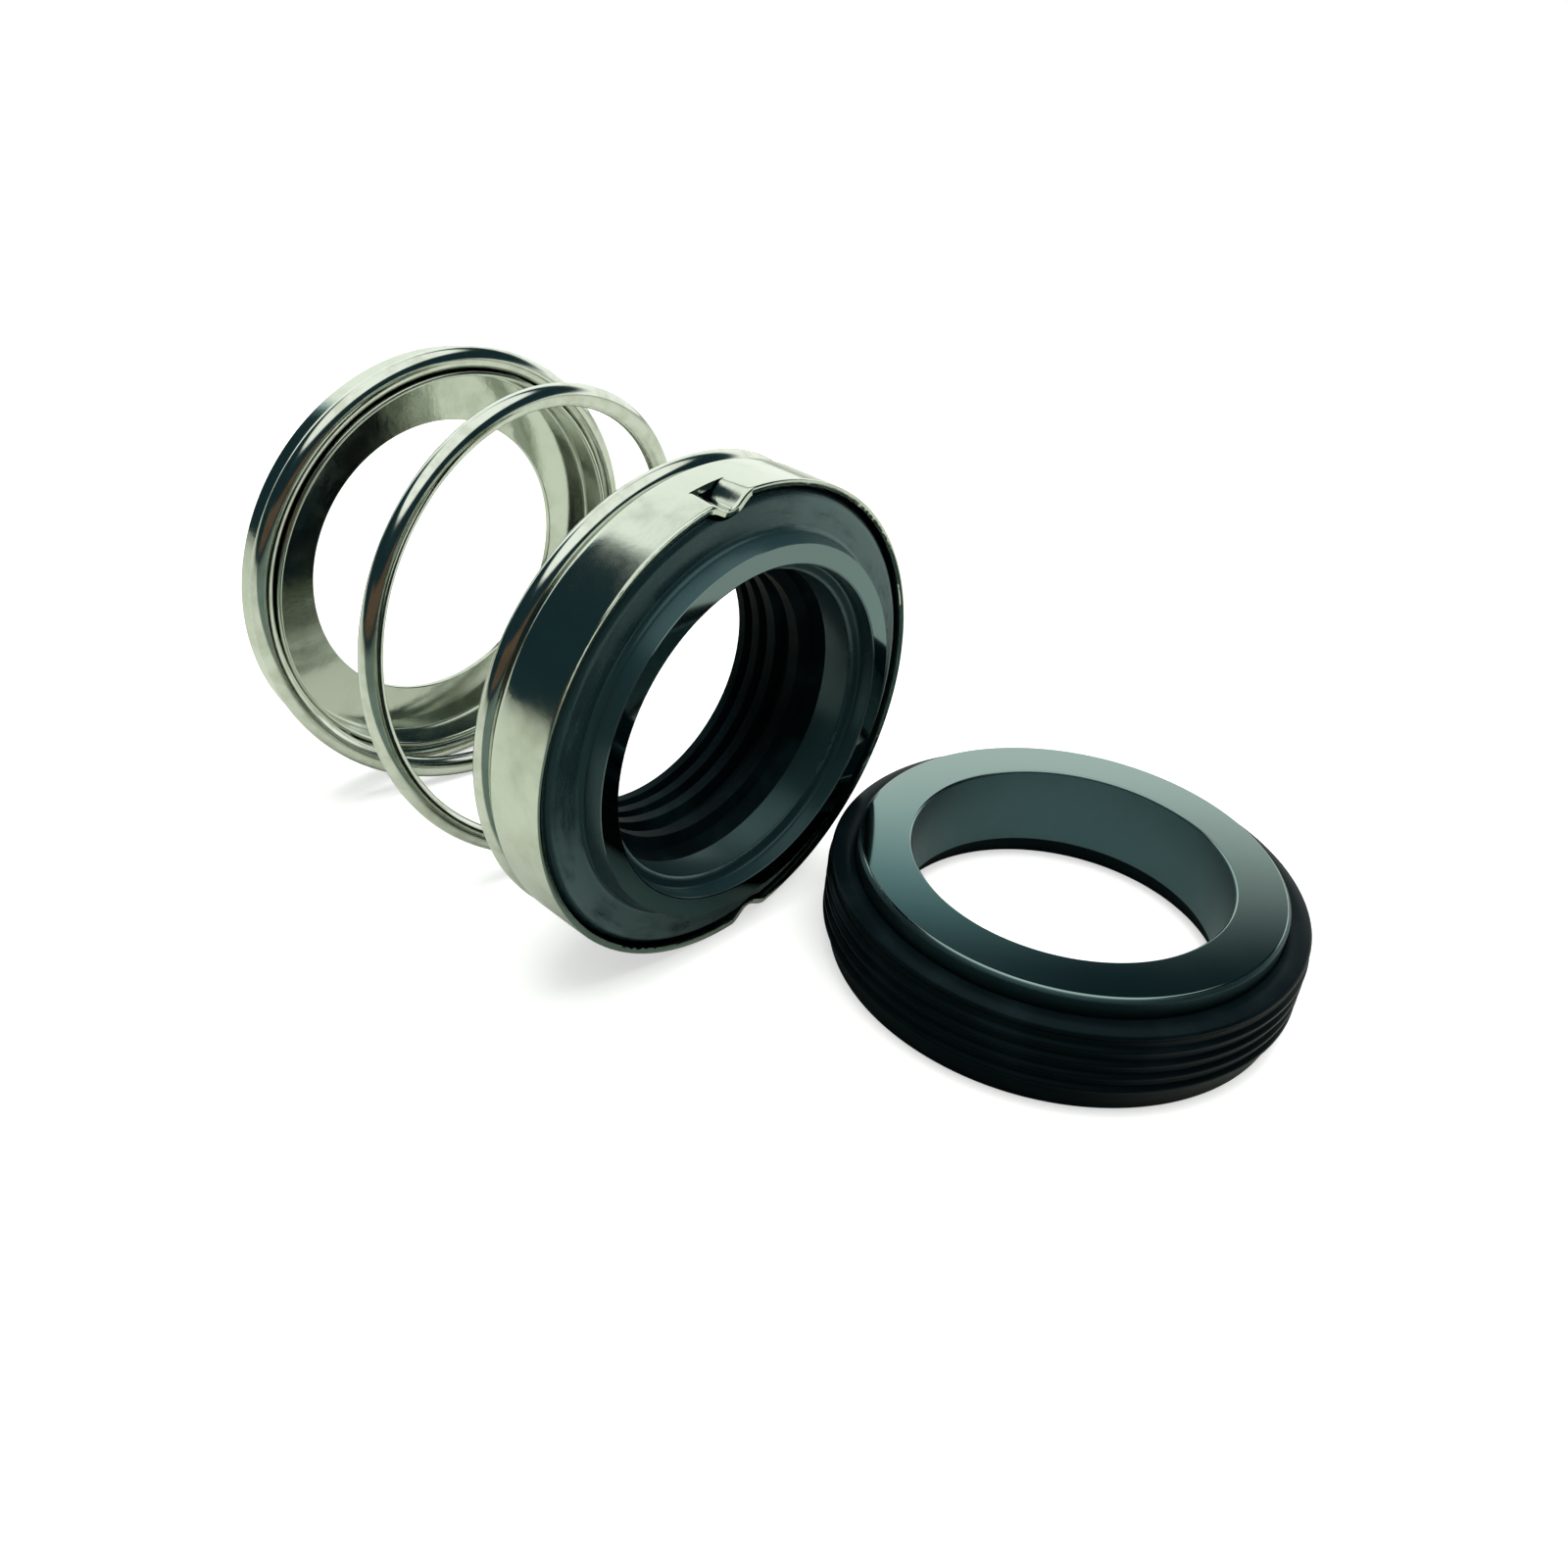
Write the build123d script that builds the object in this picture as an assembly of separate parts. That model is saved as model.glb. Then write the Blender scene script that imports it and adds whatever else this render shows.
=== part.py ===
from build123d import *
import math
import os

# Millimetres, +Z up. The origin is on the floor, under the middle of the whole set.
# The rotary unit lies on its side: its axis runs along X and its lapped face looks towards +X.
# The seat lies flat beside that face.
# Station s is the distance behind the drive shell's front rim, towards -X.
# Angle a about the rotary axis: 0 is the -Y side, 90 is up and 180 is the +Y side.

shell_r = 29.3
seat_ahead = 29.55
seat_aside = 29.4
fit_gap = 0.1
slide_gap = 0.25

# drive shell
sheet = 0.75
shell_len = 8.8
shell_bend_r = 1.3
shell_hole_r = 21.8
rim_chamfer = 0.2
dent_angle = 81.6
dent_half_angle = 6.0
dent_back_half_angle = 4.7
dent_depth = 1.45
dent_len = 3.85
lance_len = 0.2
tuck_per_degree = 0.15
tuck_start_angle = 0.3
tuck_end_angle = 0.9
tang_half_angle = 9.0
tang_slot_r_in = 22.6

# primary ring
nose_proud = 2.3
nose_r = 22.95
nose_base_r = 23.6
nose_root_r = 0.8
face_bore_r = 20.5
ring_bore_r = 19.1
bore_step_s = 0.15
ring_face_s = 0.3
ring_side_gap = 0.35
ring_len = 4.3
spigot_step = 2.3
spigot_s = 3.25
notch_round_r = 4.0
notch_lag_angle = 0.7
notch_gap = 0.25

# bellows
land_r = 17.3
groove_r = 18.7
tail_r = 20.0
tail_end_s = 17.6
land_ends = [(7.2, 8.8), (11.2, 12.6), (14.0, 15.2), (16.5, 17.6)]
ramp_len = 0.7

# drive band
band_sheet = 0.6
band_end_s = 16.0
band_flange_r = 24.6

# spring
wire_r = 1.4
coil_r = shell_r - wire_r
leave_angle = 100.0
settle_angle = 280.0
helix_zero_angle = 47.0
join_angle = 717.0
blend_angle = 22.0
front_turn = 324.0
rear_turn = 314.0
coil_rear_s = 55.3

# spring holder
holder_rear_s = 58.9
plate = 0.85
holder_hole_r = 19.05
flange_over = 0.6
neck_wall = 0.65
neck_front_s = 54.0

# seat
seat_top = 14.1
seat_r = 26.3
seat_bore_r = 19.7
seat_chamfer = 0.5
cup_floor = 3.1
cup_hole_r = 21.2
cup_foot_r = 28.5
cup_body_r = 29.1
ridge_r = 29.6
ridge_first_z = 3.8
ridge_pitch = 1.86
ridge_count = 4
ridge_land = 0.4
ridge_base = 1.2
cup_rim_r = 29.4
cup_rim_z = 11.6

# the set is centred in X and Y on the origin
head_x = (holder_rear_s - seat_ahead - ridge_r) / 2
head_y = (shell_r - seat_aside - ridge_r) / 2
axle = Pos(head_x, head_y, shell_r)
seat_place = Pos(head_x + seat_ahead, head_y + seat_aside, 0)
os.makedirs("parts", exist_ok=True)


def save(name, shape):
    export_step(shape, "parts/" + name + ".step")


def turned(points):
    # full ring about X from (station, radius) corners
    outline = Plane.XZ * Polyline([(-s, r) for s, r in points], close=True)
    return revolve(make_face(outline), Axis.X)


def ring_at(s_front, s_rear, r_in, r_out):
    return turned([(s_front, r_in), (s_rear, r_in), (s_rear, r_out), (s_front, r_out)])


def around(shape, angle):
    # turn a piece made at the top of the axle to angle a
    return Rot(90.0 - angle, 0, 0) * shape


def section_arc(radius_at, half_angle, steps=24):
    # closed list of (y, z) for a radius that varies with the angle from the top
    pts = []
    for i in range(steps + 1):
        phi = math.radians(-half_angle + 2.0 * half_angle * i / steps)
        r = radius_at(math.degrees(phi))
        pts.append((r * math.sin(phi), r * math.cos(phi)))
    return pts


def section(inner, outer, s):
    # face across the axle between two curves, at station s
    a = Spline([(-s, y, z) for y, z in inner])
    b = Spline([(-s, y, z) for y, z in outer])
    return make_face([a, Line(a @ 0, b @ 0), b, Line(a @ 1, b @ 1)])


# drive shell: a pressed cup with a lanced dent at the top and at the bottom of its rim
shell_in_r = shell_r - sheet
blank = turned([
    (0, shell_in_r + rim_chamfer), (rim_chamfer, shell_in_r), (shell_len - sheet, shell_in_r),
    (shell_len - sheet, shell_hole_r), (shell_len, shell_hole_r), (shell_len, shell_r),
    (rim_chamfer, shell_r), (0, shell_r - rim_chamfer),
])
bend = blank.edges().filter_by(GeomType.CIRCLE).group_by(Axis.X)[0].sort_by(SortBy.RADIUS)[-1]
shell = fillet(bend, shell_bend_r)
lance_s = dent_len + lance_len


def half_at(s):
    # the dent narrows from the rim to the lanced cut behind it
    return dent_half_angle - (dent_half_angle - dent_back_half_angle) * s / lance_s


def dip(phi, half_angle):
    if abs(phi) >= half_angle:
        return 0.0
    return dent_depth * (0.5 + 0.5 * math.cos(math.pi * phi / half_angle))


def window_at(s):
    inner = section_arc(lambda p: shell_in_r - 1.0, half_at(s))
    outer = section_arc(lambda p: shell_r + 1.0, half_at(s))
    return section(inner, outer, s)


def tuck(phi, half_angle):
    # the sides of the strip sink a little into the wall that they grow from
    return tuck_per_degree * max(0.0, abs(phi) - half_angle + tuck_start_angle)


def strip_at(s):
    half = half_at(s)
    reach = half + tuck_end_angle
    inner = section_arc(lambda p: shell_in_r - dip(p, half) + tuck(p, half), reach, 48)
    outer = section_arc(lambda p: shell_r - dip(p, half) - tuck(p, half), reach, 48)
    return section(inner, outer, s)


window = loft([window_at(-1.0), window_at(lance_s)], ruled=True)
strip = loft([strip_at(0.0), strip_at(dent_len)], ruled=True)
dent_angles = (dent_angle, dent_angle + 180.0)
for angle in dent_angles:
    shell = shell - around(window, angle)
    shell = shell + around(strip, angle)
slot_ring = ring_at(shell_len - sheet - 0.5, shell_len + 0.5, tang_slot_r_in, band_flange_r + fit_gap)


def sector(half_angle):
    # wedge about X centred on the top, for keeping or cutting an arc of a ring
    reach = 2 * shell_r
    w = reach * math.tan(math.radians(half_angle))
    face = make_face(Plane.YZ * Polyline([(0, 0), (w, reach), (-w, reach)], close=True))
    return extrude(face, amount=reach, both=True)


tang_angles = (0.0, 180.0)
for angle in tang_angles:
    shell = shell - (slot_ring & around(sector(tang_half_angle + 0.5), angle))
save("drive_shell", axle * shell)

# primary ring: carbon ring with a raised lapped nose and two drive notches
ring_r = shell_in_r - ring_side_gap
spigot_r = ring_r - spigot_step
notch_r = shell_in_r - dent_depth - notch_gap
ring = turned([
    (-nose_proud, face_bore_r), (-nose_proud, nose_r), (ring_face_s, nose_base_r), (ring_face_s, ring_r),
    (spigot_s, ring_r), (spigot_s, spigot_r), (ring_len, spigot_r), (ring_len, ring_bore_r),
    (bore_step_s, ring_bore_r), (0.0, face_bore_r),
])
root = ring.edges().filter_by(GeomType.CIRCLE).group_by(Axis.X)[2].sort_by(SortBy.RADIUS)[0]
ring = fillet(root, nose_root_r)
notch = Pos(0, 0, notch_r + notch_round_r) * Rot(0, 90, 0) * Cylinder(notch_round_r, 2 * (lance_s + fit_gap))
for angle in dent_angles:
    ring = ring - around(notch, angle - notch_lag_angle)
save("primary_ring", axle * ring)

# bellows: rubber cup behind the ring, notched like it, with a ribbed tail that grips the shaft
inner = [(ring_len + fit_gap, groove_r + 0.6)]
for s0, s1 in land_ends:
    inner += [(s0 - ramp_len, groove_r), (s0, land_r), (s1, land_r)]
    if s1 < tail_end_s:
        inner.append((s1 + ramp_len, groove_r))
cup_s = ring_len + fit_gap
back_s = shell_len - sheet - fit_gap
bellows = turned(inner + [
    (tail_end_s, tail_r - 0.5), (tail_end_s - 0.5, tail_r), (shell_len - sheet, tail_r),
    (back_s, tail_r + 0.6), (back_s, shell_in_r - fit_gap), (spigot_s + fit_gap, shell_in_r - fit_gap),
    (spigot_s + fit_gap, spigot_r + fit_gap), (cup_s, spigot_r + fit_gap),
])
for angle in dent_angles:
    bellows = bellows - around(notch, angle - notch_lag_angle)
save("bellows", axle * bellows)

# drive band: pressed collar round the bellows tail, with two tangs in the shell's slots
band_in_r = tail_r + fit_gap
band_front_s = shell_len + fit_gap
band = ring_at(band_front_s, band_end_s, band_in_r, band_in_r + band_sheet)
band = band + ring_at(band_front_s, band_front_s + band_sheet, band_in_r, band_flange_r)
tang = ring_at(shell_len - sheet, band_front_s + 0.1, band_flange_r - band_sheet, band_flange_r)
for angle in tang_angles:
    band = band + (tang & around(sector(tang_half_angle), angle))
save("drive_band", axle * band)

# spring: one closed coil at each end and an open helix between them
coil_front_s = shell_len + slide_gap + wire_r
rise = (coil_rear_s - coil_front_s) / (join_angle - helix_zero_angle)
lead_rise = rise * (settle_angle - helix_zero_angle) / (settle_angle - leave_angle)


def ease(x):
    # 0 below -b, x above +b, parabola between
    b = blend_angle
    if x <= -b:
        return 0.0
    if x >= b:
        return x
    return (x + b) ** 2 / (4.0 * b)


def station(a):
    # the wire leaves the front coil late and a little steeper, then settles to an even rise
    lead = lead_rise * ease(a - leave_angle) - (lead_rise - rise) * ease(a - settle_angle)
    return coil_front_s + lead - rise * ease(a - join_angle)


start = leave_angle - front_turn
stop = join_angle + rear_turn
count = 59
points = []
for i in range(count + 1):
    a = start + (stop - start) * i / count
    t = math.radians(a)
    points.append((-station(a), -coil_r * math.cos(t), coil_r * math.sin(t)))
path = Spline(points)
spring = sweep(Plane(origin=path @ 0, z_dir=path % 0) * Circle(wire_r), path=path)
save("spring", axle * spring)

# spring holder: turned ring whose neck centres the rear coil on its flange
seat_s = coil_rear_s + wire_r + fit_gap
neck_out_r = coil_r - wire_r - fit_gap
flange_r = coil_r + flange_over
neck_in_r = neck_out_r - neck_wall
holder = turned([
    (holder_rear_s - plate, holder_hole_r), (holder_rear_s, holder_hole_r), (holder_rear_s, flange_r),
    (seat_s, flange_r), (seat_s, neck_out_r), (neck_front_s + 0.3, neck_out_r), (neck_front_s, neck_out_r - 0.25),
    (neck_front_s, neck_in_r + 0.2), (neck_front_s + 0.3, neck_in_r), (holder_rear_s - plate, neck_in_r),
])
save("spring_holder", axle * holder)


def turned_up(points):
    # full ring about Z from (radius, height) corners
    outline = Plane.XZ * Polyline(points, close=True)
    return revolve(make_face(outline), Axis.Z)


# seat ring: the plain mating ring
seat = turned_up([
    (seat_bore_r, cup_floor + fit_gap), (seat_r, cup_floor + fit_gap), (seat_r, seat_top - seat_chamfer),
    (seat_r - seat_chamfer, seat_top), (seat_bore_r + 0.25, seat_top), (seat_bore_r, seat_top - 0.25),
])
save("seat_ring", seat_place * seat)

# seat cup: rubber boot with four gripping ridges round its outside
outline = [(cup_hole_r, 0.3), (cup_hole_r + 0.3, 0), (cup_foot_r - 0.4, 0), (cup_foot_r, 0.4)]
for i in range(ridge_count):
    z = ridge_first_z + ridge_pitch * i
    outline += [
        (cup_body_r, z - ridge_base / 2), (ridge_r, z - ridge_land / 2),
        (ridge_r, z + ridge_land / 2), (cup_body_r, z + ridge_base / 2),
    ]
outline += [
    (cup_body_r, cup_rim_z - 0.9), (cup_rim_r, cup_rim_z - 0.3), (cup_rim_r - 0.3, cup_rim_z),
    ((seat_r + cup_rim_r) / 2, cup_rim_z + 0.25), (seat_r + fit_gap, cup_rim_z),
    (seat_r + fit_gap, cup_floor), (cup_hole_r, cup_floor),
]
save("seat_cup", seat_place * turned_up(outline))
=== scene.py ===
import math

import bpy
from mathutils import Matrix, Vector


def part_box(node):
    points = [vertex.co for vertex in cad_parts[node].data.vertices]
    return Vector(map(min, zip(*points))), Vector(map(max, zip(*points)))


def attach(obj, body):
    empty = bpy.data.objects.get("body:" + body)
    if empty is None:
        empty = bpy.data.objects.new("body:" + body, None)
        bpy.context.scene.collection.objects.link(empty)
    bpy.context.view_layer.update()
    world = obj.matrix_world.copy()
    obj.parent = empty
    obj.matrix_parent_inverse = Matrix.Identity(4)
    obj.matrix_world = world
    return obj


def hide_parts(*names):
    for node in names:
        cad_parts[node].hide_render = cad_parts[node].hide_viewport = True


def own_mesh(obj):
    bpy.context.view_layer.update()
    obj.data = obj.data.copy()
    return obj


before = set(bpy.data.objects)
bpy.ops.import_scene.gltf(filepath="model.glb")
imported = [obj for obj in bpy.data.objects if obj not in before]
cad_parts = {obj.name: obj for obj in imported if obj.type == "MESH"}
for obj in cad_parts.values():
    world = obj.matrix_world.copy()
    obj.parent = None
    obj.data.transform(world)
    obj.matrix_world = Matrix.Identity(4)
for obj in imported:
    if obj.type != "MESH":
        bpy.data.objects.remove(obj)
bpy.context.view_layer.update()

# Primary ring: the sealing ring of the rotary unit, turned from carbon graphite.
# A lapped nose stands proud of its flange, and two round-bottomed notches in the
# flange take the dents of the drive shell. The rubber bellows holds it by its spigot.
mm = 0.001
shell_low, shell_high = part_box("drive_shell")
front_x = shell_high.x
axle = (shell_low + shell_high) / 2
rim_centre = (front_x, axle.y, axle.z)
shell_radius = (shell_high.z - shell_low.z) / 2 / mm
sheet = 0.75
side_gap = 0.35
ring_outer = shell_radius - sheet - side_gap
ring_depth = 4.3
ring_face = 0.3
nose_height = 2.3
nose_top_radius = 22.95
nose_foot_radius = 23.55
nose_foot_height = 0.45
nose_bore = 20.5
ring_bore = 19.1
step_depth = 0.15
spigot_radius = 25.9
spigot_start = 3.25
root_radius = 0.8
flange_rounding = 1.25
step_rounding = 0.4
lip_rounding = 0.25
drive_angles = (81.6, 261.6)
dent_push = 1.45
notch_gap = 0.25
notch_lag = 0.7
notch_radius = 4.0
notch_bottom = shell_radius - dent_push - sheet - notch_gap
notch_end = 4.15
weld = 0.0001 * mm


def on_axle(station, radius):
    # a point above the axle, at a distance behind the shell's rim
    return Vector((front_x - station * mm, axle.y, axle.z + radius * mm))


def round_axle(degrees, station, radius):
    # the same point turned about the axle: 0 is the -Y side and 90 is up
    angle = math.radians(degrees)
    side = Vector((0, -math.cos(angle), math.sin(angle)))
    return Vector((front_x - station * mm, axle.y, axle.z)) + side * radius * mm


def bend(centre, radius, start, stop, steps=6):
    # corners along an arc of a half section, angles in degrees
    corners = []
    for i in range(steps + 1):
        angle = math.radians(start + (stop - start) * i / steps)
        corners.append((centre[0] + radius * math.cos(angle), centre[1] + radius * math.sin(angle)))
    return corners


def pick(piece):
    # make this piece the selected one and the active one
    bpy.ops.object.select_all(action="DESELECT")
    piece.select_set(True)
    bpy.context.view_layer.objects.active = piece


def finish_edges(piece, rounding, segments=3):
    # break the sharp edges and smooth the rest
    edges = piece.modifiers.new("edges", "BEVEL")
    edges.width = rounding * mm
    edges.segments = segments
    edges.limit_method = "ANGLE"
    edges.angle_limit = math.radians(28)
    pick(piece)
    bpy.ops.object.modifier_apply(modifier="edges")
    bpy.ops.object.shade_smooth_by_angle(angle=math.radians(32))
    flats = piece.modifiers.new("flats", "WEIGHTED_NORMAL")
    flats.keep_sharp = True
    bpy.ops.object.modifier_apply(modifier="flats")


def turn(name, corners, place, centre, along, steps=256, closed=True, sweep=math.tau):
    # draw a half section corner by corner, then spin it round its axis
    bpy.ops.object.select_all(action="DESELECT")
    bpy.ops.mesh.primitive_plane_add(size=mm)
    piece = bpy.context.object
    piece.name = name
    bpy.ops.object.mode_set(mode="EDIT")
    bpy.ops.mesh.select_mode(type="VERT")
    bpy.ops.mesh.select_all(action="SELECT")
    bpy.ops.mesh.merge(type="CENTER")
    points = [place(*corner) for corner in corners]
    if closed:
        points.append(points[0])
    bpy.ops.transform.translate(value=points[0])
    for before, after in zip(points, points[1:]):
        bpy.ops.mesh.extrude_region_move(TRANSFORM_OT_translate={"value": after - before})
    bpy.ops.mesh.select_all(action="SELECT")
    bpy.ops.mesh.remove_doubles(threshold=weld)
    bpy.ops.mesh.spin(steps=steps, angle=sweep, center=centre, axis=along)
    bpy.ops.mesh.select_all(action="SELECT")
    bpy.ops.mesh.remove_doubles(threshold=weld)
    if sweep < math.tau:
        bpy.ops.mesh.fill_holes(sides=0)
    bpy.ops.mesh.normals_make_consistent(inside=False)
    bpy.ops.object.mode_set(mode="OBJECT")
    return piece


def turn_on_axle(name, corners, **settings):
    return turn(name, corners, on_axle, axle, (1, 0, 0), **settings)


def combine(piece, other, operation="DIFFERENCE"):
    # cut the other solid out of the piece, or join it on, and throw it away
    change = piece.modifiers.new("change", "BOOLEAN")
    change.operation = operation
    change.solver = "EXACT"
    change.object = other
    pick(piece)
    bpy.ops.object.modifier_apply(modifier="change")
    bpy.data.objects.remove(other)


def cut_notches(piece):
    # room for the two dents of the drive shell
    for angle in drive_angles:
        bpy.ops.object.select_all(action="DESELECT")
        bpy.ops.mesh.primitive_cylinder_add(
            vertices=96,
            radius=notch_radius * mm,
            depth=2 * notch_end * mm,
            location=round_axle(angle - notch_lag, 0, notch_bottom + notch_radius),
            rotation=(0, math.pi / 2, 0),
        )
        combine(piece, bpy.context.object)


lip = (lip_rounding - nose_height, nose_bore + lip_rounding)
root = (ring_face - root_radius, nose_foot_radius + root_radius)
flange_edge = (ring_face + flange_rounding, ring_outer - flange_rounding)
step_edge = (step_depth + step_rounding, ring_bore + step_rounding)
step_root = (-step_rounding, nose_bore - step_rounding)
ring_corners = bend(lip, lip_rounding, -90, -180, steps=4)
ring_corners += [(-nose_height, nose_top_radius), (-nose_foot_height, nose_foot_radius)]
ring_corners += bend(root, root_radius, -90, 0)
ring_corners += bend(flange_edge, flange_rounding, 180, 90)
ring_corners += [
    (spigot_start, ring_outer), (spigot_start, spigot_radius), (ring_depth, spigot_radius),
    (ring_depth, ring_bore),
]
ring_corners += bend(step_edge, step_rounding, -90, -180, steps=4)
ring_corners += bend(step_root, step_rounding, 0, 90, steps=4)
ring = turn_on_axle("primary_ring_dressed", ring_corners, steps=360)
cut_notches(ring)
finish_edges(ring, rounding=0.1)
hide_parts("primary_ring")
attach(ring, "sealing_head")


class Wire:
    # a shader socket that takes part in sums
    def __init__(self, nodes, socket):
        self.nodes = nodes
        self.socket = socket

    def maths(self, operation, first, second):
        return self.nodes.node("ShaderNodeMath", {"operation": operation}, {0: first, 1: second})

    def least(self, other):
        return self.maths("MINIMUM", self, other)

    def most(self, other):
        return self.maths("MAXIMUM", self, other)

    def __add__(self, other):
        return self.maths("ADD", self, other)

    def __sub__(self, other):
        return self.maths("SUBTRACT", self, other)

    def __rsub__(self, other):
        return self.maths("SUBTRACT", other, self)

    def __mul__(self, other):
        return self.maths("MULTIPLY", self, other)

    def __truediv__(self, other):
        return self.maths("DIVIDE", self, other)

    def __pow__(self, other):
        return self.maths("POWER", self, other)

    __radd__ = __add__
    __rmul__ = __mul__


class Nodes:
    # a node tree, and the nodes that the finishes are made of
    def __init__(self, tree):
        self.tree = tree

    def node(self, kind, settings=None, inputs=None, output=0):
        made = self.tree.nodes.new(kind)
        for setting, value in (settings or {}).items():
            setattr(made, setting, value)
        for socket, value in (inputs or {}).items():
            if isinstance(value, Wire):
                self.tree.links.new(value.socket, made.inputs[socket])
            else:
                made.inputs[socket].default_value = value
        return Wire(self, made.outputs[output])

    def place(self):
        return self.node("ShaderNodeTexCoord", output="Object")

    def vector_maths(self, operation, inputs, output=0):
        return self.node("ShaderNodeVectorMath", {"operation": operation}, inputs, output)

    def split(self, vector):
        # the X, Y and Z of a vector
        parts = self.node("ShaderNodeSeparateXYZ", {}, {0: vector}).socket.node.outputs
        return [Wire(self, part) for part in parts]

    def noise(self, vector, scale, detail=4.0, roughness=0.55):
        inputs = {"Vector": vector, "Scale": scale, "Detail": detail, "Roughness": roughness}
        return self.node("ShaderNodeTexNoise", {}, inputs, "Fac")

    def fade(self, value, low, high, bottom=0.0):
        # a smooth step from the bottom value at low to 1 at high
        inputs = {"Value": value, "From Min": low, "From Max": high, "To Min": bottom, "To Max": 1.0}
        return self.node("ShaderNodeMapRange", {"interpolation_type": "SMOOTHSTEP"}, inputs, "Result")

    def blend(self, share, first, second):
        # sockets 6 and 7 of this node take the colours, and output 2 gives the colour
        inputs = {"Factor": share, 6: first, 7: second}
        return self.node("ShaderNodeMix", {"data_type": "RGBA"}, inputs, 2)

    def bump(self, height, strength, depth):
        inputs = {"Height": height, "Strength": strength, "Distance": depth}
        return self.node("ShaderNodeBump", {}, inputs, "Normal")

    def round_coordinates(self):
        # place ahead of the shell's rim, distance from the axle, and the direction from
        # the axle as its shares along Y and Z
        axial, first, second = self.split(self.vector_maths("SUBTRACT", {0: self.place(), 1: rim_centre}))
        radius = (first * first + second * second) ** 0.5
        return axial, radius, first / radius, second / radius


class Finish(Nodes):
    # the surface finish of a piece
    def __init__(self, name, **sockets):
        self.material = bpy.data.materials.new(name)
        self.material.use_nodes = True
        super().__init__(self.material.node_tree)
        self.shader = self.tree.nodes["Principled BSDF"]
        for socket, value in sockets.items():
            self.shader.inputs[socket.replace("_", " ")].default_value = value

    def feed(self, socket, wire):
        self.tree.links.new(wire.socket, self.shader.inputs[socket])

    def paint(self, piece):
        piece.data.materials.clear()
        piece.data.materials.append(self.material)


bare_carbon = (0.008, 0.022, 0.025, 1)
marked_highlit_carbon = (0.020, 0.040, 0.042, 1)
# the next colour is a painted highlight: the lighter carbon laid on two flanks of the turned face
highlight_painted_carbon = (0.092, 0.142, 0.14, 1)
lapped_carbon = (0.164, 0.213, 0.217, 1)
face_reach = 0.2
face_core = 0.05
carbon = Finish("machined_carbon", IOR=1.55, Specular_Tint=(0.55, 0.9, 0.95, 1))
axial, radius, across, up = carbon.round_coordinates()
smudge = carbon.noise(carbon.place(), scale=190, detail=5, roughness=0.62)
wide_smudge = carbon.noise(carbon.place(), scale=60, detail=2, roughness=0.5)
wiped = carbon.node("ShaderNodeCombineXYZ", {}, {0: radius * 900, 1: across * 4, 2: up * 4})
streaks = carbon.noise(wiped, scale=1.0, detail=3, roughness=0.6)
lapped = carbon.fade(axial, (nose_height - 0.12) * mm, (nose_height - 0.04) * mm)
turned_face = carbon.fade(axial, -(ring_face + face_reach) * mm, -(ring_face + face_core) * mm)
turned_face *= carbon.fade(axial, -(ring_face - face_reach) * mm, -(ring_face - face_core) * mm)
# painted highlight: the turned flange face is painted lighter on its upper right and lower left flanks,
# standing for the bow-tie sheen that its turning marks catch
painted_bowtie_highlight = carbon.fade(across * up, -0.15, 0.5) * turned_face
marks = (smudge * 0.3 + wide_smudge * 0.3 + streaks * 0.4 - 0.5) * turned_face + 0.5
# this share mixes real smudges and streaks with the painted highlight, so the lighter marked colour is
# partly painted light
marks_with_highlight = carbon.fade(marks + painted_bowtie_highlight * 0.12, 0.44, 0.64)
matte = carbon.blend(marks_with_highlight, bare_carbon, marked_highlit_carbon)
matte = carbon.blend(painted_bowtie_highlight * marks_with_highlight, matte, highlight_painted_carbon)
carbon.feed("Base Color", carbon.blend(lapped, matte, lapped_carbon))
carbon.feed("Metallic", lapped)
carbon.feed("Roughness", (1 - lapped) * (0.22 + marks_with_highlight * 0.2) + lapped * 0.06)
carbon.feed("Normal", carbon.bump(streaks * turned_face, strength=0.15, depth=0.03 * mm))
carbon.paint(ring)

# Bellows: the moulded rubber boot behind the primary ring. Its cup is squeezed into
# the drive shell, and its tail has four inner ribs that grip the pump shaft.
fit_gap = 0.1
shell_depth = 8.8
shell_floor = shell_depth - sheet
rib_radius = 17.3
rib_ends = [(7.2, 8.8), (11.2, 12.6), (14.0, 15.2), (16.5, 17.6)]
rib_flank = 0.7
groove_radius = 18.7
mouth_radius = 19.3
tail_radius = 20.0
tail_end = rib_ends[-1][1]
tail_chamfer = 0.5
tail_root = 0.6
boot_front = spigot_start + fit_gap
boot_mouth = ring_depth + fit_gap
boot_back = shell_floor - fit_gap
boot_inner = spigot_radius + fit_gap
boot_outer = shell_radius - sheet - fit_gap
boot_corners = [(boot_mouth, mouth_radius)]
for start, stop in rib_ends:
    boot_corners += [(start - rib_flank, groove_radius), (start, rib_radius), (stop, rib_radius)]
    if stop < tail_end:
        boot_corners.append((stop + rib_flank, groove_radius))
boot_corners += [
    (tail_end, tail_radius - tail_chamfer), (tail_end - tail_chamfer, tail_radius),
    (shell_floor, tail_radius), (boot_back, tail_radius + tail_root),
    (boot_back, boot_outer), (boot_front, boot_outer),
    (boot_front, boot_inner), (boot_mouth, boot_inner),
]
boot = turn_on_axle("bellows_dressed", boot_corners)
finish_edges(boot, rounding=0.5, segments=5)
cut_notches(boot)
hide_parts("bellows")
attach(boot, "sealing_head")

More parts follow.
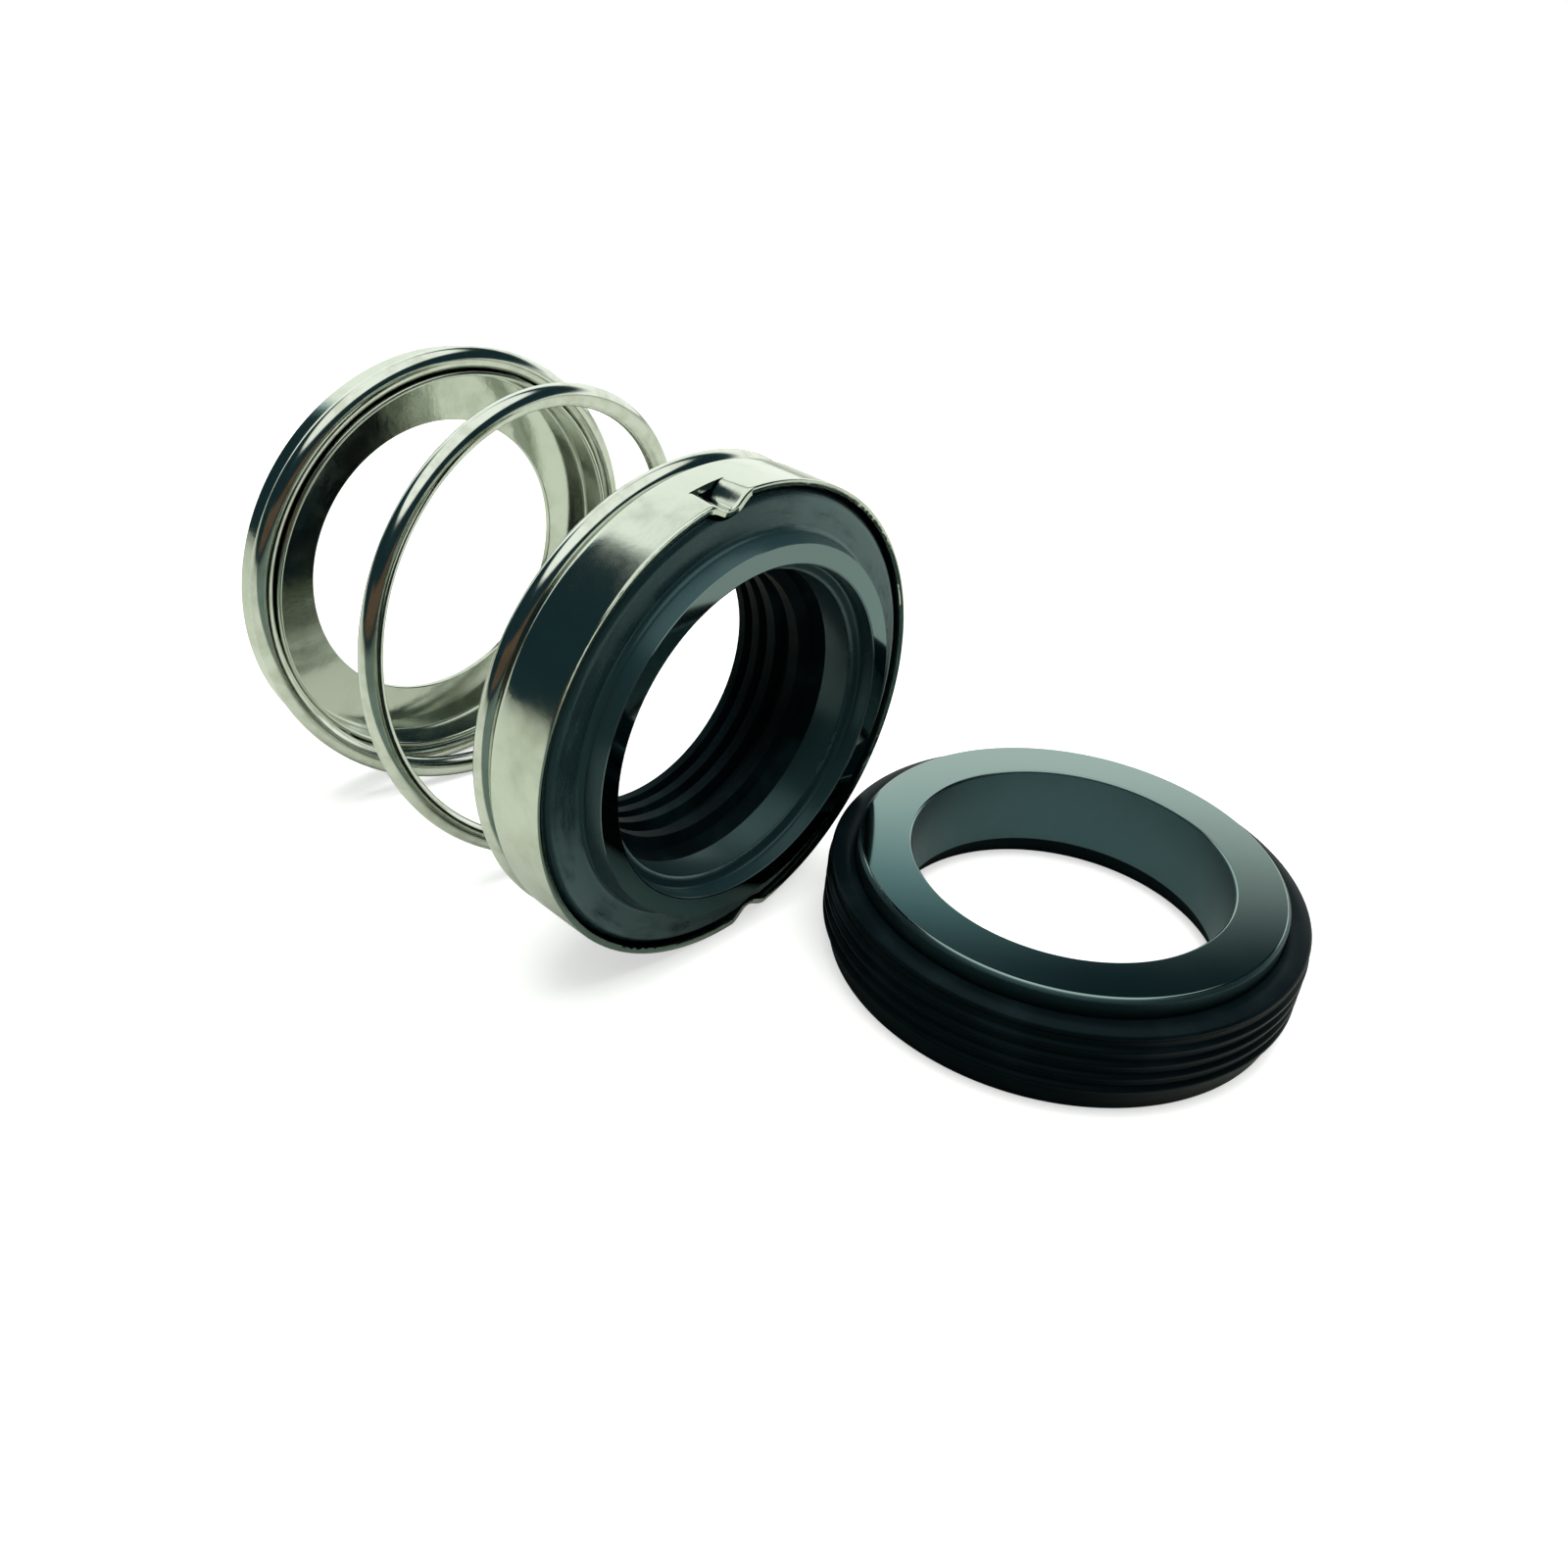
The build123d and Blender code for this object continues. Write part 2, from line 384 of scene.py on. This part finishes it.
black_rubber = (0.0015, 0.0035, 0.0045, 1)
bloomed_rubber = (0.004, 0.008, 0.0095, 1)
# the next colour is a painted reflection: the lighter teal of the bore, standing for the teal highlights
# on the ribs
painted_reflection_rubber = (0.006, 0.016, 0.019, 1)
rubber = Finish("moulded_rubber", IOR=1.16, Specular_Tint=(0.5, 0.9, 1.0, 1))
grain = rubber.noise(rubber.place(), scale=1400, detail=2)
bloom = rubber.noise(rubber.place(), scale=120, detail=4)
axial, radius = rubber.round_coordinates()[:2]
behind_rim = rubber.fade(axial, -2 * mm, -3 * mm)
# inside the bellows' bore the rubber is painted lighter teal as a painted reflection of the rib
# highlights, and it is also made rougher there
inside = behind_rim * rubber.fade(radius, (tail_radius + 1) * mm, tail_radius * mm)
pale = rubber.blend(inside, bloomed_rubber, painted_reflection_rubber)
rubber.feed("Base Color", rubber.blend(rubber.fade(bloom, 0.45, 0.8), black_rubber, pale))
rubber.feed("Roughness", 0.22 + bloom * 0.2 + inside * 0.2)
rubber.feed("Normal", rubber.bump(grain, strength=0.15, depth=0.04 * mm))
rubber.paint(boot)

# Drive band: a pressed steel collar squeezed round the bellows tail. Its flange lies
# against the back of the drive shell, and two tangs of it sit in the shell's slots.
band_radius = tail_radius + fit_gap
band_sheet = 0.6
band_front = shell_depth + fit_gap
band_end = 16.0
band_flange = 24.6
tang_angles = (0.0, 180.0)
tang_half = 9.0
tang_inset = 0.1
tang_overlap = 0.1
tang_radius = band_flange - tang_inset


def bent_block(middle, half, front, back, inner, outer):
    # a block bent round the axle, its middle and its half width in degrees
    def on_end(station, radius):
        return round_axle(middle - half, station, radius)

    corners = [(front, inner), (back, inner), (back, outer), (front, outer)]
    return turn("block", corners, on_end, axle, (1, 0, 0), steps=24, sweep=math.radians(2 * half))


band_corners = [
    (band_front, band_radius), (band_end, band_radius), (band_end, band_radius + band_sheet),
    (band_front + band_sheet, band_radius + band_sheet), (band_front + band_sheet, band_flange),
    (band_front, band_flange),
]
band = turn_on_axle("drive_band_dressed", band_corners)
for middle in tang_angles:
    tang = bent_block(
        middle, tang_half, shell_floor, band_front + tang_overlap, tang_radius - band_sheet, tang_radius,
    )
    combine(band, tang, "UNION")
finish_edges(band, rounding=0.15)
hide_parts("drive_band")
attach(band, "sealing_head")

clean_steel = (0.60, 0.64, 0.565, 1)
tarnished_steel = (0.47, 0.505, 0.42, 1)
steel = Finish("pressed_steel", Metallic=1.0)
axial, radius, across = steel.round_coordinates()[:3]
rolled = steel.node("ShaderNodeCombineXYZ", {}, {0: axial * 900, 1: radius * 900, 2: across * 3})
drawn = steel.noise(rolled, scale=1.0, detail=3)
blotch = steel.noise(steel.place(), scale=210, detail=5, roughness=0.6)
cloud = steel.noise(steel.place(), scale=45, detail=3)
tarnish = steel.fade(blotch * 0.55 + cloud * 0.45, 0.44, 0.66)
steel.feed("Base Color", steel.blend(tarnish, clean_steel, tarnished_steel))
steel.feed("Roughness", 0.09 + tarnish * 0.08 + drawn * 0.03)
unevenness = drawn * 0.05 + blotch * 0.5 + cloud * 0.8
steel.feed("Normal", steel.bump(unevenness, strength=0.2, depth=0.3 * mm))
steel.paint(band)

# Drive shell: a cup pressed from stainless sheet that holds the ring and the bellows.
# A strip of its rim is lanced and pushed inwards at two places, so that it turns the
# primary ring. Its back has a large hole for the tail and two slots for the band's tangs.
shell_hole = 21.8
corner_radius = 1.3
rim_slope = 0.25
rim_rounding = 0.3
dent_half = 6.0
dent_back_half = 4.7
dent_strip = 3.85
lance_width = 0.2
dent_cut = dent_strip + lance_width
slot_inner = 22.6
slot_slack = 0.5
slot_overrun = 0.5
tolerance = 0.01
wall_rows = [0.0, 0.5, 1.1, 1.7, 2.3, 2.9, 3.4, dent_strip, dent_cut, 4.6, 5.2, 5.9, 6.7]
back_rows = [26.0, 24.0, shell_hole]
shell_corner = (shell_depth - corner_radius, shell_radius - corner_radius)
shell_corners = [(row, shell_radius) for row in wall_rows]
shell_corners += bend(shell_corner, corner_radius, 90, 0, steps=8)
shell_corners += [(shell_depth, row) for row in back_rows]
shell = turn_on_axle("drive_shell_dressed", shell_corners, steps=720, closed=False)


def about_axle(point):
    # station, angle and radius of a point of a turned piece
    side, height = point.y - axle.y, point.z - axle.z
    angle = math.degrees(math.atan2(height, -side)) % 360
    return (front_x - point.x) / mm, angle, math.hypot(side, height) / mm


def from_dent(angle):
    # signed angle from the nearer dent
    return min(((angle - centre + 180) % 360 - 180 for centre in drive_angles), key=abs)


def select_none(kind):
    # clear the mesh's selection, before some of it is selected by its place
    bpy.ops.object.mode_set(mode="EDIT")
    bpy.ops.mesh.select_all(action="DESELECT")
    bpy.ops.mesh.select_mode(type=kind)
    bpy.ops.object.mode_set(mode="OBJECT")


pick(shell)
select_none("FACE")
for face in shell.data.polygons:
    station, angle = about_axle(face.center)[:2]
    if dent_strip < station < dent_cut and abs(from_dent(angle)) < dent_back_half:
        face.select = True
bpy.ops.object.mode_set(mode="EDIT")
bpy.ops.mesh.delete(type="FACE")
bpy.ops.object.mode_set(mode="OBJECT")
for vertex in shell.data.vertices:
    station, angle, radius = about_axle(vertex.co)
    half = dent_half - (dent_half - dent_back_half) * station / dent_cut
    away = from_dent(angle)
    if station < dent_strip + tolerance and abs(away) < half:
        push = dent_push * (0.5 + 0.5 * math.cos(math.pi * away / half))
        vertex.co = round_axle(angle, station, radius - push)
outer_count = len(shell.data.vertices)
walls = shell.modifiers.new("walls", "SOLIDIFY")
walls.thickness = sheet * mm
walls.offset = -1.0
walls.use_even_offset = True
bpy.ops.object.modifier_apply(modifier="walls")
for vertex in shell.data.vertices[outer_count:]:
    if about_axle(vertex.co)[0] < tolerance:
        vertex.co.x -= rim_slope * mm
select_none("EDGE")
for edge in shell.data.edges:
    ends = [about_axle(shell.data.vertices[i].co)[0] for i in edge.vertices]
    if max(map(abs, ends)) < tolerance:
        edge.select = True
bpy.ops.object.mode_set(mode="EDIT")
bpy.ops.mesh.bevel(offset=rim_rounding * mm, segments=4, affect="EDGES")
bpy.ops.object.mode_set(mode="OBJECT")
for middle in tang_angles:
    slot = bent_block(
        middle, tang_half + slot_slack, shell_floor - slot_overrun, shell_depth + slot_overrun,
        slot_inner, band_flange + fit_gap,
    )
    combine(shell, slot)
finish_edges(shell, rounding=0.08)
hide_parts("drive_shell")
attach(shell, "sealing_head")
steel.paint(shell)

# Spring: one stainless wire coiled right-handed, with a closed coil at each end. The
# front coil pushes on the back of the drive shell and the rear one sits in the holder.
wire_radius = 1.4
coil_radius = shell_radius - wire_radius
coil_gap = 0.25
coil_front = shell_depth + coil_gap + wire_radius
coil_rear = 55.3
coil_seat = coil_rear + wire_radius
# angles round the axle: the wire lies flat up to leave_angle, climbs faster up to
# settle_angle, follows the even helix from helix_zero and lies flat after join_angle
helix_zero = 47.0
leave_angle = 100.0
settle_angle = 280.0
join_angle = 717.0
front_turn = 324.0
rear_turn = 314.0
easing = 22.0
coil_steps = 640
wire_start = leave_angle - front_turn
wire_stop = join_angle + rear_turn
pitch = (coil_rear - coil_front) / (join_angle - helix_zero)
lead_pitch = pitch * (settle_angle - helix_zero) / (settle_angle - leave_angle)


def climb(angle):
    # nothing before the coil leaves, a straight climb after it, and a smooth start
    if angle <= -easing:
        return 0.0
    if angle >= easing:
        return angle
    return (angle + easing) ** 2 / (4 * easing)


coil_curve = bpy.data.curves.new("coil_line", "CURVE")
coil_curve.dimensions = "3D"
coil_curve.bevel_depth = wire_radius * mm
coil_curve.bevel_resolution = 12
coil_curve.use_fill_caps = True
line = coil_curve.splines.new("POLY")
line.points.add(coil_steps)
for i, point in enumerate(line.points):
    angle = wire_start + (wire_stop - wire_start) * i / coil_steps
    lead = lead_pitch * climb(angle - leave_angle) - (lead_pitch - pitch) * climb(angle - settle_angle)
    station = coil_front + lead - pitch * climb(angle - join_angle)
    point.co = (*round_axle(angle, station, coil_radius), 1)
coil = bpy.data.objects.new("spring_dressed", coil_curve)
bpy.context.scene.collection.objects.link(coil)
pick(coil)
bpy.ops.object.convert(target="MESH")
coil = bpy.context.object
bpy.ops.object.mode_set(mode="EDIT")
bpy.ops.mesh.select_all(action="SELECT")
bpy.ops.mesh.remove_doubles(threshold=weld)
bpy.ops.mesh.normals_make_consistent(inside=False)
bpy.ops.object.mode_set(mode="OBJECT")
finish_edges(coil, rounding=0.25)
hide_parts("spring")
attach(coil, "holder_spring_and_seat")
on_axle(coil_seat, 0)
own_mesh(coil)

clean_wire = (0.64, 0.67, 0.61, 1)
dull_wire = (0.52, 0.55, 0.47, 1)
wire_steel = Finish("drawn_wire", Metallic=1.0)
draw_marks = wire_steel.noise(wire_steel.place(), scale=350, detail=4)
dulled = wire_steel.fade(draw_marks, 0.4, 0.7)
wire_steel.feed("Base Color", wire_steel.blend(dulled, clean_wire, dull_wire))
wire_steel.feed("Roughness", 0.07 + draw_marks * 0.08)
wire_steel.paint(coil)

# Spring holder: a turned steel ring that closes the rear end. Its flange carries the
# spring, a short neck keeps the last coil central and its plate rests on a shaft shoulder.
holder_low, holder_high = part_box("spring_holder")
holder_rear = (front_x - holder_low.x) / mm
holder_outer = (holder_high.z - holder_low.z) / 2 / mm
holder_front = coil_seat + fit_gap
holder_hole = 19.05
plate = 0.85
plate_front = holder_rear - plate
plate_corner = 0.5
neck_outer = coil_radius - wire_radius - fit_gap
neck_wall = 0.65
neck_inner = neck_outer - neck_wall
neck_front = 54.0
neck_round = neck_wall / 2
holder_corners = [
    (plate_front, holder_hole), (holder_rear, holder_hole), (holder_rear, holder_outer),
    (holder_front, holder_outer), (holder_front, neck_outer),
]
neck_end = (neck_front + neck_round, neck_outer - neck_round)
neck_foot = (plate_front - plate_corner, neck_inner - plate_corner)
holder_corners += bend(neck_end, neck_round, 90, 270, steps=10)
holder_corners += bend(neck_foot, plate_corner, 90, 0, steps=5)
holder = turn_on_axle("spring_holder_dressed", holder_corners)
finish_edges(holder, rounding=0.15)
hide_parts("spring_holder")
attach(holder, "holder_spring_and_seat")
steel.paint(holder)

# Seat ring: the stationary half of the seal, a plain ring of hard carbide. Both its ends
# are lapped, and its upper end runs against the nose of the primary ring.
seat_low, seat_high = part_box("seat_ring")
seat_place = Vector(((seat_low.x + seat_high.x) / 2, (seat_low.y + seat_high.y) / 2, 0))
seat_outer = (seat_high.x - seat_low.x) / 2 / mm
seat_top = seat_high.z / mm
seat_foot = seat_low.z / mm
seat_bore = 19.7
seat_chamfer = 0.5
bore_chamfer = 0.25


def on_seat(radius, height):
    # a point to the +X side of the seat's axis
    return seat_place + Vector((radius * mm, 0, height * mm))


def turn_on_seat(name, corners):
    return turn(name, corners, on_seat, seat_place, (0, 0, 1))


seat = turn_on_seat("seat_ring_dressed", [
    (seat_bore, seat_foot), (seat_outer, seat_foot), (seat_outer, seat_top - seat_chamfer),
    (seat_outer - seat_chamfer, seat_top), (seat_bore + bore_chamfer, seat_top),
    (seat_bore, seat_top - bore_chamfer),
])
finish_edges(seat, rounding=0.06, segments=2)
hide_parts("seat_ring")
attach(seat, "holder_spring_and_seat")

ground_carbide = (0.062, 0.113, 0.13, 1)
polished_carbide = (0.25, 0.33, 0.315, 1)
carbide = Finish("lapped_carbide", Metallic=1.0)
height = carbide.split(carbide.place())[2]
lapped_top = carbide.fade(height, (seat_top - 0.2) * mm, (seat_top - 0.05) * mm)
haze = carbide.noise(carbide.place(), scale=90, detail=4)
carbide.feed("Base Color", carbide.blend(lapped_top, ground_carbide, polished_carbide))
carbide.feed("Roughness", (0.38 + haze * 0.12) * (1 - lapped_top) + (0.04 + haze * 0.05) * lapped_top)
carbide.paint(seat)

# Seat cup: a rubber boot stretched over the seat ring. The four ridges round it are
# squeezed when it is pushed into the seal chamber.
cup_low, cup_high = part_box("seat_cup")
cup_hole = 21.2
hole_chamfer = 0.3
cup_foot = 28.5
foot_chamfer = 0.4
cup_body = 29.1
cup_inner = seat_outer + fit_gap
ridge_crest = (cup_high.x - cup_low.x) / 2 / mm
ridge_foot_half = 0.6
ridge_crest_half = 0.2
first_ridge = 3.8
ridge_pitch = 1.86
ridge_count = 4
rim_radius = 29.4
rim_height = 11.6
rim_foot = 0.9
rim_side = 0.35
dome_inset = 0.25
dome_height = 0.25
dome_steps = 10
cup_corners = [
    (cup_hole, hole_chamfer), (cup_hole + hole_chamfer, 0), (cup_foot - foot_chamfer, 0),
    (cup_foot, foot_chamfer),
]
for i in range(ridge_count):
    height = first_ridge + ridge_pitch * i
    cup_corners += [
        (cup_body, height - ridge_foot_half), (ridge_crest, height - ridge_crest_half),
        (ridge_crest, height + ridge_crest_half), (cup_body, height + ridge_foot_half),
    ]
cup_corners += [(cup_body, rim_height - rim_foot), (rim_radius, rim_height - rim_side)]
dome_outer = rim_radius - dome_inset
for i in range(dome_steps + 1):
    share = i / dome_steps
    rise = dome_height * math.sin(math.pi * share)
    cup_corners.append((dome_outer + (cup_inner - dome_outer) * share, rim_height + rise))
cup_corners += [(cup_inner, seat_foot), (cup_hole, seat_foot)]
cup = turn_on_seat("seat_cup_dressed", cup_corners)
finish_edges(cup, rounding=0.12)
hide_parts("seat_cup")
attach(cup, "holder_spring_and_seat")
rubber.paint(cup)

# Studio: a white background and a floor that is white to the camera, with a large lamp
# over the middle. What the metal reflects is a dark room with a light panel at the
# back, one overhead and a warm patch behind the camera.
look_azimuth = math.radians(39.92)
look_down = math.radians(32.32)
roll = math.radians(6.06)
camera_from_rim = Vector((94.8, -104.7, 82.5)) * mm
ahead = Vector((-math.sin(look_azimuth), math.cos(look_azimuth), 0))
aside = Vector((math.cos(look_azimuth), math.sin(look_azimuth), 0))
upward = Vector((0, 0, 1))
level = (ahead * math.cos(look_down) - upward * math.sin(look_down)).to_track_quat("-Z", "Y")
camera = bpy.data.objects.new("camera", bpy.data.cameras.new("camera"))
bpy.context.scene.collection.objects.link(camera)
camera.data.lens = 32.77
camera.data.sensor_width = 36.0
camera.data.clip_start = 0.01
camera.location = on_axle(0, 0) + camera_from_rim
camera.rotation_mode = "QUATERNION"
camera.rotation_quaternion = level @ Matrix.Rotation(roll, 3, "Z").to_quaternion()
bpy.context.scene.camera = camera

floor_grey = (0.5, 0.51, 0.49, 1)
mirrored_floor = (0.46, 0.48, 0.42, 1)
mirrored_shade = (0.09, 0.125, 0.11, 1)
bpy.ops.object.select_all(action="DESELECT")
bpy.ops.mesh.primitive_plane_add(size=6.0, location=(0, 0, 0))
floor = bpy.context.object
floor.name = "floor"
floor_paint = Finish("floor_paint", Roughness=0.9, Emission_Strength=1.0)
seen = floor_paint.node("ShaderNodeLightPath", output="Is Camera Ray")
mirrored = floor_paint.node("ShaderNodeLightPath", output="Is Glossy Ray")
reach = floor_paint.vector_maths("LENGTH", {0: floor_paint.place()}, "Value")
far = floor_paint.fade(reach, 70 * mm, 250 * mm, bottom=0.6)
# the pieces mirror a darker floor in front of the nose: a painted shadow standing for the shade of the
# head and the seat
stage_x, stage_y = floor_paint.split(floor_paint.place())[:2]
shade = floor_paint.fade(stage_x, -4 * mm, 6 * mm) * floor_paint.fade(stage_y, 0.0, -12 * mm)
under = floor_paint.blend(shade, mirrored_floor, mirrored_shade)
floor_paint.feed("Base Color", floor_paint.blend(mirrored, floor_grey, under))
floor_paint.feed("Emission Color", seen * far)
floor_paint.paint(floor)

dark_side = (0.012, 0.032, 0.04, 1)
warm_patch = (0.115, 0.08, 0.053, 1)
panel_glow = (0.7, 1.0, 1.05, 1)
cool_light = (0.55, 1.05, 1.12, 1)
white_light = (1.2, 1.25, 1.18, 1)
world = bpy.data.worlds.new("studio")
bpy.context.scene.world = world
world.use_nodes = True
sky = Nodes(world.node_tree)
direction = sky.node("ShaderNodeTexCoord", output="Generated")
to_back, to_right, to_top = [
    sky.vector_maths("DOT_PRODUCT", {0: direction, 1: way}, "Value") for way in (ahead, aside, upward)
]
# the panel's upper edge rises towards the left, and a faint glow lies over it
panel_top = to_back * 0.71 - to_right * 0.085 - to_right.least(0.0) * 0.93
below_panel_top = panel_top - to_top
back_panel = sky.fade(below_panel_top, -0.085, 0.10) * sky.fade(to_back + to_right * 0.55, 0.0, 0.16)
overhead = sky.fade(to_top, 0.72, 0.80)
bright = back_panel.most(overhead)
warm = sky.fade(to_back, -0.55, -0.72) * sky.fade(to_top, 0.42, 0.34) * sky.fade(to_top, 0.03, 0.10)
glow = sky.fade(below_panel_top, -0.16, -0.04) * sky.fade(to_right, 0.26, 0.08)
glow *= sky.fade(to_back, 0.5, 0.7)
dark = sky.blend(warm, dark_side, warm_patch)
dark = sky.blend(glow * 0.12, dark, panel_glow)
neutral = back_panel + sky.fade(to_top, 0.62, 0.72) + sky.fade(to_right, 0.16, 0.30) * 0.7
light = sky.blend(neutral, cool_light, white_light)
tint = sky.blend(bright, dark, light)
shown = sky.node("ShaderNodeLightPath", output="Is Camera Ray")
room = sky.node("ShaderNodeBackground", {}, {"Color": tint, "Strength": 1.0}, "Background")
white = sky.node("ShaderNodeBackground", {}, {"Color": (1, 1, 1, 1), "Strength": 1.0}, "Background")
mixed = sky.node("ShaderNodeMixShader", {}, {0: shown, 1: room, 2: white}, "Shader")
world_nodes = world.node_tree.nodes
world_output = world_nodes.get("World Output") or world_nodes.new("ShaderNodeOutputWorld")
world.node_tree.links.new(mixed.socket, world_output.inputs["Surface"])

overhead_lamp = bpy.data.objects.new("overhead_lamp", bpy.data.lights.new("overhead_lamp", "AREA"))
bpy.context.scene.collection.objects.link(overhead_lamp)
overhead_lamp.data.shape = "DISK"
overhead_lamp.data.size = 0.8
overhead_lamp.data.energy = 9.0
overhead_lamp.visible_glossy = False
overhead_lamp.location = (0.0, 0.05, 0.75)

bpy.context.scene.view_settings.view_transform = "Standard"
